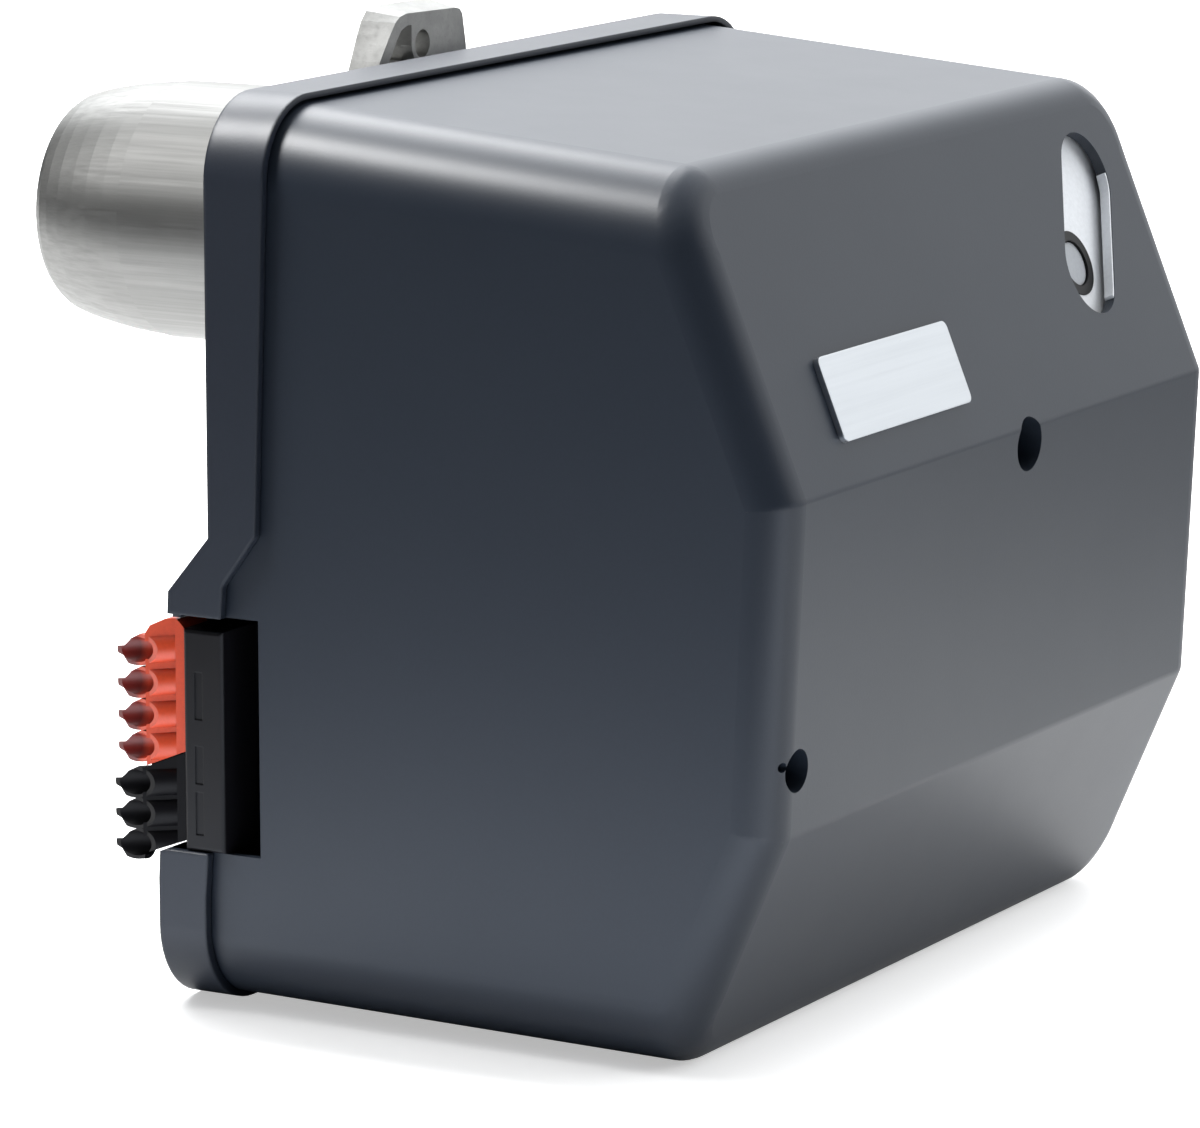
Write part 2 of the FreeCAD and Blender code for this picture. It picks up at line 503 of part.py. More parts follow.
# ---------------------------------------------------------------- fan wheel
hub = ring("x", 10.0, SHAFT_R, -25, 6, FAN_Y, FAN_Z)
disc = ring("x", 60.0, 9.0, -25, -23.4, FAN_Y, FAN_Z)
rim2 = ring("x", 60.0, 47.0, 24.4, 26, FAN_Y, FAN_Z)
blades = []
N = 30
for k in range(N):
    b = box(-23.6, 24.6, 47.5, 60.5, -0.55, 0.55)
    b.rotate(V(0, 54, 0), V(1, 0, 0), 32)
    b.rotate(V(0, 0, 0), V(1, 0, 0), 360.0 / N * k)
    b.translate(V(0, FAN_Y, FAN_Z))
    blades.append(b)
fan = disc.multiFuse([hub, rim2] + blades)
fan = fan.common(cyl("x", 60.0, -30, 30, FAN_Y, FAN_Z))
add("fan_wheel", fan.removeSplitter())

# ---------------------------------------------------------------- air intake box with its flap
ib = box(36.0, 63.0, -136, -10, 34, 150).cut(box(36.0, 60.5, -133.5, -12.5, 36.5, 147.5))
ib = ib.cut(box(39.0, 60.5, -16, -5, 44, 96))               # rear air opening
ib = ib.cut(cyl("x", 16.2, 55, 70, FAN_Y, FAN_Z))            # pump spigot
ib = ib.cut(cyl("x", 2.6, 55, 70, -22, 70))                  # flap spindle
boss = ring("x", 5.5, 2.6, 63.0, 66.0, -22, 70)
ib = ib.fuse(boss)
add("intake_box", ib.removeSplitter())
flap = box(40.0, 59.6, -22.8, -21.2, 47, 93)
flap = flap.fuse(cyl("x", 3.6, 40.0, 59.6, -22, 70)).cut(cyl("x", 2.5, 30, 80, -22, 70))
add("air_flap", flap.removeSplitter())
add("flap_spindle", cyl("x", 2.5, 38.5, 79.0, -22, 70))
knob = cyl("x", 9.0, 66.8, 75.0, -22, 70).fuse(box(75.0, 78.0, -23.2, -20.8, 62.5, 77.5))
for k in range(18):
    a = math.radians(20 * k)
    knob = knob.cut(cyl("x", 0.8, 66.0, 76.0, -22 + 9.2 * math.cos(a), 70 + 9.2 * math.sin(a)))
knob = knob.cut(cyl("x", 2.5, 60, 80, -22, 70))
add("air_knob", knob.removeSplitter())

# ---------------------------------------------------------------- oil pump
PB = (66.0, 108.0, -108.0, -52.0, 56.0, 118.0)
IDLER_Z = FAN_Z - 18.3
pb = box(*PB)
pb = pb.makeFillet(5.0, [e for e in pb.Edges if abs(e.Vertexes[0].Point.y - e.Vertexes[1].Point.y) < 1e-6 and abs(e.Vertexes[0].Point.z - e.Vertexes[1].Point.z) < 1e-6])
pb = pb.fuse(cyl("x", 16.0, 60.5, 66.0, FAN_Y, FAN_Z))
pb = cut(
    pb,
    cyl("x", 4.06, 55, 110, FAN_Y, FAN_Z),
    cyl("x", 4.06, 85, 110, FAN_Y, IDLER_Z),
    cyl("x", 10.8, 96, 110, FAN_Y, FAN_Z),
    cyl("x", 10.8, 96, 110, FAN_Y, IDLER_Z),
    cyl("z", 5.75, 50, 66, 74.0, -64.0),                    # suction port
    cyl("z", 5.75, 50, 66, 100.0, -64.0),                   # return port
    cyl("y", 5.3, -112, -96, 80.0, 74.0),                   # pressure screw
    cyl("y", 2.6, -112, -100, 88.0, 106.0),                 # nozzle port
)
add("pump_body", pb.removeSplitter())
pc = box(108.0, 114.0, -106.0, -54.0, 58.0, 116.0)
pc = pc.makeFillet(5.0, [e for e in pc.Edges if abs(e.Vertexes[0].Point.y - e.Vertexes[1].Point.y) < 1e-6 and abs(e.Vertexes[0].Point.z - e.Vertexes[1].Point.z) < 1e-6])
add("pump_cover", pc)
pss = []
for y, z in ((-99, 65), (-99, 109), (-61, 65), (-61, 109)):
    pss.append(cyl("x", 3.8, 114.0, 117.4, y, z).cut(cyl("x", 1.9, 115.4, 118, y, z)))
add("pump_screws", Part.makeCompound(pss))


def gear(cy, cz, x0, x1, phase, n=12, ro=10.35, rr=7.45):
    pts = []
    for k in range(n):
        c = 360.0 / n * k + phase
        for a, r in ((-9.4, rr), (-3.2, ro), (3.2, ro), (9.4, rr)):
            t = math.radians(c + a)
            pts.append((cy + r * math.cos(t), cz + r * math.sin(t)))
    return poly_x(pts, x0, x1)


g1 = gear(FAN_Y, FAN_Z, 97, 107, 0.0).fuse(cyl("x", 4.0, 58.0, 107.0, FAN_Y, FAN_Z))
g2 = gear(FAN_Y, IDLER_Z, 97, 107, 15.0).fuse(cyl("x", 4.0, 86.0, 107.0, FAN_Y, IDLER_Z))
add("pump_drive_gear", g1.removeSplitter())
add("pump_idler_gear", g2.removeSplitter())
cpl = cyl("x", 11.0, 38.0, 58.5, FAN_Y, FAN_Z)
cpl = cut(cpl, cyl("x", SHAFT_R, 37.0, 44.0, FAN_Y, FAN_Z), cyl("x", 4.0, 52.0, 60.0, FAN_Y, FAN_Z), box(49.0, 51.0, -100, -60, FAN_Z - 3, FAN_Z + 3))
cpl = cpl.cut(cyl("x", 4.0, 57.9, 60.0, FAN_Y, FAN_Z))
add("drive_coupling", cpl.removeSplitter())
psr = cyl("y", 5.0, -112, -98, 80.0, 74.0).cut(box(75, 85, -113, -110.8, 73.4, 74.6))
add("pressure_screw", psr)
vc = box(72.0, 104.0, -96.0, -64.0, 118.0, 150.0)
vc = vc.makeFillet(4.0, [e for e in vc.Edges if abs(e.Vertexes[0].Point.x - e.Vertexes[1].Point.x) < 1e-6 and abs(e.Vertexes[0].Point.y - e.Vertexes[1].Point.y) < 1e-6])
vc = vc.fuse(cyl("z", 6.5, 150, 154, 88, -80)).cut(cyl("z", 5.3, 121, 146, 88, -80))
add("valve_coil", vc.removeSplitter())
add("valve_plunger", cyl("z", 5.0, 121.3, 141, 88, -80))

# ---------------------------------------------------------------- oil pipe and nozzle line
add("oil_pipe", bent([(88, -100.5, 106), (88, -126, 106), (88, -126, 150), (57, -126, 169), (31, -126, 190), (31, -126, 217), (7.0, -126, 217)], 2.5, [9, 12, 12, 12, 9]))
nl = cyl("y", 7.0, -133, 88, 0, AXIS_Z).cut(cyl("y", 3.0, -128, 90, 0, AXIS_Z)).cut(cyl("x", 2.5, 0, 12, -126, AXIS_Z))
add("nozzle_line", nl.removeSplitter())
add("preheater", ring("y", 11.5, 7.0, 28, 72, 0, AXIS_Z))
noz = turned([(88.0, 0.3), (88.0, 7.5), (96.0, 7.5), (97.0, 6.0), (101.5, 2.2), (101.5, 0.3)])
add("nozzle", noz)
el, lead_pts = [], []
for sx in (-1, 1):
    c = cyl("y", 3.4, 22, 84, 14 * sx, 231).fuse(cyl("y", 4.6, 40, 46, 14 * sx, 231))
    el.append(c.removeSplitter())
add("electrode_insulators", Part.makeCompound(el))
ew = []
for sx in (-1, 1):
    ew.append(bent([(14 * sx, 84, 231), (14 * sx, 92, 231), (3.0 * sx, 106.5, 222.5)], 1.1, [3]))
add("electrode_tips", Part.makeCompound(ew))
eb = box(-20, 20, 58, 61, 226, 237).fuse(ring("y", 14.0, 11.5, 58, 61, 0, AXIS_Z)).cut(cyl("y", 11.5, 50, 70, 0, AXIS_Z))
eb = cut(eb, cyl("y", 3.4, 50, 70, -14, 231), cyl("y", 3.4, 50, 70, 14, 231))
add("electrode_bracket", eb.removeSplitter())
df = cyl("y", 38.2, 99.0, 100.4, 0, AXIS_Z)
df = df.cut(cyl("y", 15.5, 90, 110, 0, AXIS_Z))
for k in range(10):
    a = 36.0 * k + 18
    s = box(-1.2, 1.2, 95, 105, 18, 33)
    s.rotate(V(0, 0, 0), V(0, 1, 0), a)
    s.translate(V(0, 0, AXIS_Z))
    df = df.cut(s)
df = df.fuse(ring("y", 38.2, 37.0, 92.0, 99.0, 0, AXIS_Z))
# arms that carry the disc on the nozzle line
for a in (60, 180, 300):
    t = math.radians(a)
    arm = Part.makeBox(2.4, 2.0, 30, V(-1.2, 92.0, 7.7))
    arm.rotate(V(0, 0, 0), V(0, 1, 0), a)
    arm.translate(V(0, 0, AXIS_Z))
    df = df.fuse(arm)
df = df.fuse(ring("y", 9.6, 7.5, 89.0, 94.0, 0, AXIS_Z))
add("diffuser", df.removeSplitter())

# ---------------------------------------------------------------- ignition transformer and its leads
tr = box(-138, -62, -148, -72, 176, 246)
tr = tr.makeFillet(5.0, tr.Edges)
tr = tr.cut(cyl("x", 4.0, -68, -60, -128, 234)).cut(cyl("x", 4.0, -68, -60, -138, 222))
add("ignition_transformer", tr)
tb = box(-136, -46.0, -108, -80, 173.0, 176.0).fuse(box(-48.5, -46.0, -108, -80, 160, 176))
add("transformer_bracket", tb.removeSplitter())
ld = [
    bent([(-68, -128, 234), (-14, -128, 234), (-14, -112, 231), (-14, 22, 231)], 3.2, [9, 9]),
    bent([(-68, -138, 222), (-50, -138, 222), (-34, -138, 238), (14, -138, 238), (14, -126, 231), (14, 22, 231)], 3.2, [12, 12, 8, 12]),
]
add("ignition_leads", Part.makeCompound(ld))
fs = cyl("y", 6.0, -138, -100, -28, 196).fuse(cyl("y", 8.5, -121, -115, -28, 196))
add("flame_sensor", fs.removeSplitter())

# ---------------------------------------------------------------- control box, panel, reset button
def at_depth(d, z):
    """y of the plane d behind the slope's face at height z."""
    s = (z - Z_MU - NZ * d) / TZ
    return Y_MU + TY * s + NY * d


D = PANEL_DEPTH + 1.6
cbx = poly_x([(-96, 178), (at_depth(D, 178), 178), (at_depth(D, 247), 247), (-96, 247)], 54, 130)
cbx = cbx.cut(slope_cyl(BUTTON_X, BUTTON_S, BUTTON_R + 0.5, 0, PANEL_DEPTH + 14))
add("control_box", cbx.removeSplitter())
pn = poly_x([(at_depth(D, 179), 179), (at_depth(PANEL_DEPTH, 179), 179), (at_depth(PANEL_DEPTH, 246), 246), (at_depth(D, 246), 246)], 55, 128)
pn = pn.cut(slope_cyl(BUTTON_X, BUTTON_S, RING_RO, 0, PANEL_DEPTH + 5))
add("control_panel", pn.removeSplitter())
rg = slope_cyl(BUTTON_X, BUTTON_S, RING_RO, PANEL_DEPTH - 0.3, D).cut(slope_cyl(BUTTON_X, BUTTON_S, RING_RI, 0, PANEL_DEPTH + 5))
add("button_ring", rg)
bt_ = slope_cyl(BUTTON_X, BUTTON_S, BUTTON_R, PANEL_DEPTH + 0.5, PANEL_DEPTH + 9.0)
add("reset_button", bt_)
cbase = box(50, 134, -96, -84, 174, 250)
cbase = cbase.fuse(box(44.0 + 2.0, 50, -96, -84, 180, 244))
add("control_base", cbase.removeSplitter())

# ---------------------------------------------------------------- connector: socket housing and two plugs
x0, x1, y0, y1, z0, z1 = SOCKET
sk = box(*SOCKET)
sk = sk.makeFillet(1.2, [e for e in sk.Edges if abs(e.Vertexes[0].Point.x - e.Vertexes[1].Point.x) < 1e-6 or abs(e.Vertexes[0].Point.z - e.Vertexes[1].Point.z) < 1e-6 and e.Vertexes[0].Point.x < -140 or abs(e.Vertexes[0].Point.y - e.Vertexes[1].Point.y) < 1e-6 and abs(e.Vertexes[0].Point.z - e.Vertexes[1].Point.z) > 10 and e.Vertexes[0].Point.x < -140])
# foot that lies on the casing's leaning rear wall
sk = sk.fuse(poly_x([(4.0, 50), (4.0, 108), (12.3, 108), (15.3, 50)], -134.6, -131.0))
sk = sk.fuse(poly_x([(12.4, 50), (9.4, 108), (12.3, 108), (15.3, 50)], -134.6, -116.0))
for z in POLE_Z:
    sk = sk.cut(box(-146.2, -139.8, 2.4, 12.0, z - 3.2, z + 3.2))
for z0_, z1_ in GROOVES:
    sk = sk.cut(box(-152.0, -150.6, 3.4, 6.2, z0_, z1_))
pins = [cyl("y", 0.8, -1.4, 8.9, -143.0, z) for z in POLE_Z]
for q in pins:
    sk = sk.cut(q)
add("socket_housing", sk.removeSplitter())
add("socket_pins", Part.makeCompound(pins))


def plug(side, ledge, poles, outlets, y_end, y_tip):
    """Plug with side views given in (y, z): a plate against the socket, a slimmer core behind it,
    a ledge on its far half, a round wire funnel per outlet and a tongue per contact."""
    b = poly_x(side, PLUG_X0, PLUG_X1).common(box(-160, -130, side[0][0], side[0][0] + 3.4, 0, 140))
    b = b.fuse(poly_x(side, PLUG_X0 + 2.2, PLUG_X1)).fuse(poly_x(ledge, PLUG_MID, PLUG_X1))
    fall = V(0, 1, -FUNNEL_FALL)
    k = (y_tip - y_end) / 7.6
    slant = poly_z([(-160.0, y_end - k * 13.2), (-160.0, 90.0), (-125.0, 90.0), (-125.0, y_end + k * 21.8)], 0, 140)
    y_in = side[0][0] + 1.0
    starts = [V(FUNNEL_X, y_in, z + FUNNEL_FALL * (40.0 - y_in)) for z in outlets]
    tops = poly_x(side, -160, -120)
    for c in starts:
        zt = c.z - FUNNEL_FALL * (y_tip - c.y)
        nib = poly_x([(c.y - 2, c.z + 8), (y_end + 3, zt + 7), (y_end + 8.6, zt + 4.4), (y_end + 12.2, zt + 1.5), (y_tip + 0.5, zt + 0.8), (y_tip + 0.5, zt - 0.8), (y_end + 12.2, zt - 1.5), (y_end + 8.6, zt - 4.4), (y_end + 3, zt - 7), (c.y - 2, c.z - 8)], -160, -120)
        tube = Part.makeCylinder(FUNNEL_RO, 50, c, fall).cut(slant).common(nib)
        near = tube.common(box(-160, -130, 0, y_end, 0, 140)).common(tops)
        b = b.fuse(near).fuse(tube.common(box(-160, -130, y_end - 0.01, 90, 0, 140)))
    for z in poles:
        b = b.fuse(box(-145.6, -140.4, 3.0, side[0][0] + 0.6, z - 2.6, z + 2.6))
    for c in starts:
        b = b.cut(Part.makeCylinder(FUNNEL_RI, 50, c + V(0, 8.0, -8.0 * FUNNEL_FALL), fall))
    for z in poles:
        b = b.cut(cyl("y", 1.2, 2.0, 14.0, -143.0, z))
    return max(b.Solids, key=lambda q: q.Volume)


PLUG_MID = -142.4
FUNNEL_X = -144.6
FUNNEL_RO, FUNNEL_RI = 4.95, 3.9
ORANGE_SIDE = [(10.4, 74.9), (26.2, 68.4), (26.2, 109.6), (24.4, 112.2), (18.8, 114.8), (13.2, PLUG_TOP), (10.4, 113.0)]
ORANGE_LEDGE = [(10.4, 76.4), (26.2, 69.9), (26.2, 109.6), (24.4, 112.2), (18.8, 114.8), (13.2, PLUG_TOP), (10.4, 113.0)]
BLACK_SIDE = [(10.4, 47.2), (27.8, 40.6), (27.8, 67.4), (10.4, 74.5)]
BLACK_LEDGE = [(10.4, 47.2), (27.8, 40.6), (27.8, 68.9), (10.4, 76.0)]
add("orange_plug", plug(ORANGE_SIDE, ORANGE_LEDGE, POLE_Z[:4], FUNNEL_Z[:4], 26.2, 42.6).cut(poly_x([(9.0, 70.0), (9.0, 76.97), (10.4, 76.4), (26.2, 69.9), (28.0, 69.2), (28.0, 60.0)], PLUG_MID - 0.25, PLUG_X1 + 1)))
add("black_plug", plug(BLACK_SIDE, BLACK_LEDGE, POLE_Z[4:], FUNNEL_Z[4:], 27.8, 44.0))

# ---------------------------------------------------------------- to the row frame and out
shift = V(0, -FLANGE_Y, -AXIS_Z)
os.makedirs("parts", exist_ok=True)
total = 0
for name, shape in nodes.items():
    s = shape.copy()
    s.translate(shift)
    sol = s.Solids
    total += 1
    bb = s.BoundBox
    print(
        f"{name:22s} solids {len(sol)} valid {s.isValid()} vol {s.Volume / 1000:9.2f} cm3  "
        f"x {bb.XMin:7.1f} {bb.XMax:7.1f}  y {bb.YMin:7.1f} {bb.YMax:7.1f}  z {bb.ZMin:7.1f} {bb.ZMax:7.1f}"
    )
    out = sol[0] if len(sol) == 1 else Part.makeCompound(sol)
    out.exportStep(f"parts/{name}.step")
print(total, "nodes")
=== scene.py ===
import json
import math

import bmesh
import bpy
from mathutils import Matrix, Vector

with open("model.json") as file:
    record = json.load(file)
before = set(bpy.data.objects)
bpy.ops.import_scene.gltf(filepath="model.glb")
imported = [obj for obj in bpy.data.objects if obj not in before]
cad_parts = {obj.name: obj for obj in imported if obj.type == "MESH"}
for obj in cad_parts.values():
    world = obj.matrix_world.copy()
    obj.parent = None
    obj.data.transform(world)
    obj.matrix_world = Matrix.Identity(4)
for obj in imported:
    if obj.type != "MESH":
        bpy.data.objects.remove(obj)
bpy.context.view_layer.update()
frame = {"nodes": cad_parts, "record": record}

NODES = frame["nodes"]
BODY_OF = {n: b for b, ns in frame["record"]["behaviour"]["bodies"].items() for n in ns}
scene = bpy.context.scene

FLOOR_Z = -0.2226
MM = 0.001


def row(x, y, z):
    """Layout millimetres (tube axis 217 up, flange face at y 27) to metres in the object's frame."""
    return Vector((x, y - 27.0, z - 217.0)) * MM


def rgb(r, g, b):
    """sRGB 0-255 to linear."""
    out = []
    for c in (r, g, b):
        c = c / 255.0
        out.append(c / 12.92 if c <= 0.04045 else ((c + 0.055) / 1.055) ** 2.4)
    return tuple(out) + (1.0,)


def scaled(c, k):
    return tuple(min(1.0, v * k) for v in c[:3]) + (1.0,)


# ------------------------------------------------------------------ camera
cam = bpy.data.cameras.new("camera")
cam.sensor_fit = "HORIZONTAL"
cam.sensor_width = 36.0
cam.lens = 6313.7 / 1200.0 * 36.0
cam.clip_start = 0.05
cam.clip_end = 60.0
cam_obj = bpy.data.objects.new("camera", cam)
scene.collection.objects.link(cam_obj)
CR = Vector((0.4933, -0.8699, -0.0007)).normalized()
CD = Vector((0.854, 0.4845, -0.1893))
CD = (CD - CR * CD.dot(CR)).normalized()
CU = CR.cross(CD)
cam_obj.matrix_world = Matrix((
    (CR.x, CU.x, -CD.x, -1.7159),
    (CR.y, CU.y, -CD.y, -1.0497),
    (CR.z, CU.z, -CD.z, 0.2767),
    (0, 0, 0, 1),
))
scene.camera = cam_obj


# ------------------------------------------------------------------ node helpers
class Tree:
    """A small builder for one material's nodes."""

    def __init__(self, name):
        self.mat = bpy.data.materials.new(name)
        self.mat.use_nodes = True
        self.t = self.mat.node_tree
        self.t.nodes.clear()
        self.out = self.t.nodes.new("ShaderNodeOutputMaterial")
        self.b = self.t.nodes.new("ShaderNodeBsdfPrincipled")
        self.t.links.new(self.b.outputs["BSDF"], self.out.inputs["Surface"])
        self.coord = self.t.nodes.new("ShaderNodeTexCoord")

    def n(self, kind, **kw):
        node = self.t.nodes.new(kind)
        for k, v in kw.items():
            setattr(node, k, v)
        return node

    def link(self, a, b):
        self.t.links.new(a, b)

    def mapped(self, scale=(1, 1, 1), rot=(0, 0, 0), loc=(0, 0, 0)):
        m = self.n("ShaderNodeMapping")
        m.inputs["Scale"].default_value = scale
        m.inputs["Rotation"].default_value = rot
        m.inputs["Location"].default_value = loc
        self.link(self.coord.outputs["Object"], m.inputs["Vector"])
        return m.outputs["Vector"]

    def noise(self, scale, detail=3.0, rough=0.55, vec=None, dist=0.0):
        t = self.n("ShaderNodeTexNoise")
        t.inputs["Scale"].default_value = scale
        t.inputs["Detail"].default_value = detail
        t.inputs["Roughness"].default_value = rough
        t.inputs["Distortion"].default_value = dist
        self.link(vec if vec is not None else self.coord.outputs["Object"], t.inputs["Vector"])
        return t.outputs["Fac"]

    def voronoi(self, scale, vec=None, feature="F1"):
        t = self.n("ShaderNodeTexVoronoi", feature=feature)
        t.inputs["Scale"].default_value = scale
        self.link(vec if vec is not None else self.coord.outputs["Object"], t.inputs["Vector"])
        return t.outputs["Distance"]

    def ramp(self, fac, stops):
        r = self.n("ShaderNodeValToRGB")
        el = r.color_ramp.elements
        while len(el) > 1:
            el.remove(el[-1])
        el[0].position, el[0].color = stops[0][0], stops[0][1]
        for p, c in stops[1:]:
            e = el.new(p)
            e.color = c
        self.link(fac, r.inputs["Fac"])
        return r.outputs["Color"]

    def remap(self, fac, a, b, lo=0.3, hi=0.7):
        m = self.n("ShaderNodeMapRange")
        m.inputs["From Min"].default_value = lo
        m.inputs["From Max"].default_value = hi
        m.inputs["To Min"].default_value = a
        m.inputs["To Max"].default_value = b
        self.link(fac, m.inputs["Value"])
        return m.outputs["Result"]

    def mix(self, fac, a, b, kind="MIX"):
        m = self.n("ShaderNodeMix", data_type="RGBA", blend_type=kind)
        if isinstance(fac, float):
            m.inputs[0].default_value = fac
        else:
            self.link(fac, m.inputs[0])
        for i, v in ((6, a), (7, b)):
            if isinstance(v, tuple):
                m.inputs[i].default_value = v
            else:
                self.link(v, m.inputs[i])
        return m.outputs[2]

    def math(self, op, a, b=None):
        m = self.n("ShaderNodeMath", operation=op)
        for i, v in enumerate((a, b)):
            if v is None:
                continue
            if isinstance(v, (int, float)):
                m.inputs[i].default_value = v
            else:
                self.link(v, m.inputs[i])
        return m.outputs[0]

    def edge_round(self, radius):
        """Rounded-edge normal for the small machined and moulded pieces."""
        b = self.n("ShaderNodeBevel", samples=4)
        b.inputs["Radius"].default_value = radius
        return b.outputs["Normal"]

    def bump(self, height, strength, distance, normal=None):
        b = self.n("ShaderNodeBump")
        b.inputs["Strength"].default_value = strength
        b.inputs["Distance"].default_value = distance
        self.link(height, b.inputs["Height"])
        if normal is not None:
            self.link(normal, b.inputs["Normal"])
        return b.outputs["Normal"]

    def set(self, **kw):
        for k, v in kw.items():
            s = self.b.inputs[k.replace("_", " ")]
            if isinstance(v, (int, float, tuple)):
                s.default_value = v
            else:
                self.link(v, s)


def plastic(name, colour, rough=0.45, ior=1.45, grain=0.0007, depth=0.00004, vary=0.06, edge=0.0, spots=0.0, gloss=0.03, painted_recess_shade=None, reach=0.007, painted_rear_shade=None):
    """Moulded plastic: fine spark-eroded grain, faint mottling and uneven gloss; optionally painted shade, darkening
    its recesses by ambient occlusion and its far end along Y.
    """
    t = Tree(name)
    big = t.noise(9.0, 3.0, 0.6)
    small = t.noise(1.0 / (grain * 1.6), 2.0, 0.6)
    c = t.ramp(big, [(0.3, scaled(colour, 1 - vary)), (0.7, scaled(colour, 1 + vary))])
    c = t.mix(t.remap(small, 0.0, 0.35), c, scaled(colour, 1.25))
    if spots:
        dust = t.noise(420.0, 1.0, 0.4)
        c = t.mix(t.remap(dust, 0.0, spots, 0.66, 0.78), c, scaled(colour, 2.2))
    # painted shade: recesses found by ambient occlusion are darkened towards the given colour
    if painted_recess_shade:
        ao = t.n("ShaderNodeAmbientOcclusion")
        ao.samples = 12
        ao.inputs["Distance"].default_value = reach
        c = t.mix(t.remap(ao.outputs["AO"], 1.0, 0.0, 0.2, 0.75), c, painted_recess_shade)
    # painted shade: the far end along Y is darkened to the given colour, fading in between y0 and y1
    if painted_rear_shade:
        y0, y1, rear_shade_colour = painted_rear_shade
        sep = t.n("ShaderNodeSeparateXYZ")
        t.link(t.coord.outputs["Object"], sep.inputs[0])
        c = t.mix(t.remap(sep.outputs["Y"], 0.0, 1.0, y0, y1), c, rear_shade_colour)
    r = t.remap(t.noise(28.0, 4.0, 0.6), rough - gloss, rough + gloss)
    t.set(Base_Color=c, Roughness=r, IOR=ior)
    n = t.edge_round(edge) if edge else None
    cells = t.voronoi(1.0 / grain)
    h = t.math("ADD", t.math("MULTIPLY", cells, 0.6), small)
    t.set(Normal=t.bump(h, 0.35, depth, n))
    return t


def metal(name, colour, rough=0.3, vary=0.08, stretch=None, streak=0.0, depth=0.00003, edge=0.0, stain=None, stain_at=(0.55, 0.8)):
    """Bare or plated metal, with tool or brush marks along one direction where stretch is given."""
    t = Tree(name)
    if stretch:
        v = t.mapped(scale=stretch)
        line = t.noise(1.0, 4.0, 0.65, v)
    else:
        line = t.noise(900.0, 3.0, 0.6)
    cloud = t.noise(22.0, 4.0, 0.6)
    c = t.ramp(cloud, [(0.3, scaled(colour, 1 - vary)), (0.7, scaled(colour, 1 + vary))])
    if streak:
        c = t.mix(t.remap(line, 0.0, streak, 0.35, 0.75), c, scaled(colour, 0.55))
    if stain:
        c = t.mix(t.remap(t.noise(14.0, 5.0, 0.65, dist=0.6), 0.0, 0.75, *stain_at), c, stain)
    r = t.math("ADD", t.remap(line, rough - 0.06, rough + 0.08), t.remap(cloud, -0.03, 0.04))
    t.set(Base_Color=c, Metallic=1.0, Roughness=r)
    n = t.edge_round(edge) if edge else None
    t.set(Normal=t.bump(line, 0.35, depth, n))
    return t


MATS = {}

# the cover and the casing: anthracite, satin, fine grain
COVER_COLOUR = rgb(31, 37, 46)
MATS["dark_cover_plastic"] = plastic("cover_anthracite", COVER_COLOUR, 0.40, 1.45, 0.0006, 0.00003, 0.03, spots=0.04, gloss=0.008).mat
MATS["dark_casing_plastic"] = plastic("casing_anthracite", rgb(31, 36, 45), 0.42, 1.45, 0.0007, 0.00004, 0.03, gloss=0.01, edge=0.0015).mat
MATS["socket_plastic"] = plastic("socket_black", rgb(17, 16, 19), 0.42, 1.36, 0.0008, 0.00002, 0.05, edge=0.0005).mat
MATS["black_plastic"] = plastic("moulded_black", rgb(28, 28, 30), 0.4, 1.5, 0.0008, 0.00003, 0.08, edge=0.0006).mat
MATS["grey_plastic"] = plastic("moulded_grey", rgb(150, 152, 152), 0.42, 1.48, 0.0008, 0.00002, 0.05, edge=0.0005).mat
MATS["white_panel"] = plastic("panel_light", rgb(205, 208, 212), 0.4, 1.48, 0.0009, 0.00002, 0.03, edge=0.0003).mat
MATS["black_ring"] = plastic("ring_black", rgb(11, 11, 13), 0.42, 1.36, 0.0008, 0.00001, 0.05, edge=0.0004).mat
MATS["button_plastic"] = plastic("button_grey", rgb(142, 146, 151), 0.32, 1.5, 0.0008, 0.00001, 0.05, edge=0.0008).mat
# painted shade: the plug's orange turns deep red in its recesses and over its last 10 to 12 mm towards the rear
rear = max(v.co.y for v in NODES["orange_plug"].data.vertices)
MATS["orange_plastic"] = plastic("plug_orange", rgb(214, 74, 40), 0.42, 1.5, 0.0007, 0.00002, 0.06, edge=0.0, painted_recess_shade=rgb(96, 18, 12), painted_rear_shade=(rear - 0.0125, rear - 0.0095, rgb(112, 22, 16))).mat
MATS["black_plug_plastic"] = plastic("plug_black", rgb(11, 10, 13), 0.5, 1.22, 0.0007, 0.00002, 0.06, edge=0.0).mat
MATS["lead_rubber"] = plastic("lead_silicone", rgb(40, 40, 42), 0.55, 1.45, 0.0012, 0.00003, 0.1).mat

# metals
MATS["stainless_tube"] = metal("tube_stainless", rgb(152, 152, 150), 0.42, 0.05, (700, 9, 700), 0.3, 0.00003, stain=rgb(128, 122, 114), stain_at=(0.6, 0.85)).mat
MATS["sheet_steel"] = metal("galvanised_sheet", rgb(176, 180, 184), 0.42, 0.12, None, 0.0, 0.00003, edge=0.0004).mat
MATS["zinc_steel"] = metal("zinc_plated", rgb(186, 188, 186), 0.32, 0.08, None, 0.0, 0.00002, edge=0.0003).mat
MATS["bearing_steel"] = metal("ground_steel", rgb(190, 192, 194), 0.24, 0.05, (40, 900, 900), 0.2, 0.00002, edge=0.0003).mat
MATS["brass"] = metal("brass_turned", rgb(206, 172, 96), 0.3, 0.08, (900, 900, 60), 0.15, 0.00002, edge=0.0004).mat
MATS["copper"] = metal("copper_drawn", rgb(196, 122, 84), 0.32, 0.12, None, 0.0, 0.00002, stain=rgb(110, 72, 52)).mat
MATS["badge_aluminium"] = metal("badge_satin", rgb(208, 212, 216), 0.34, 0.02, (12, 900, 900), 0.05, 0.00001, edge=0.0005).mat


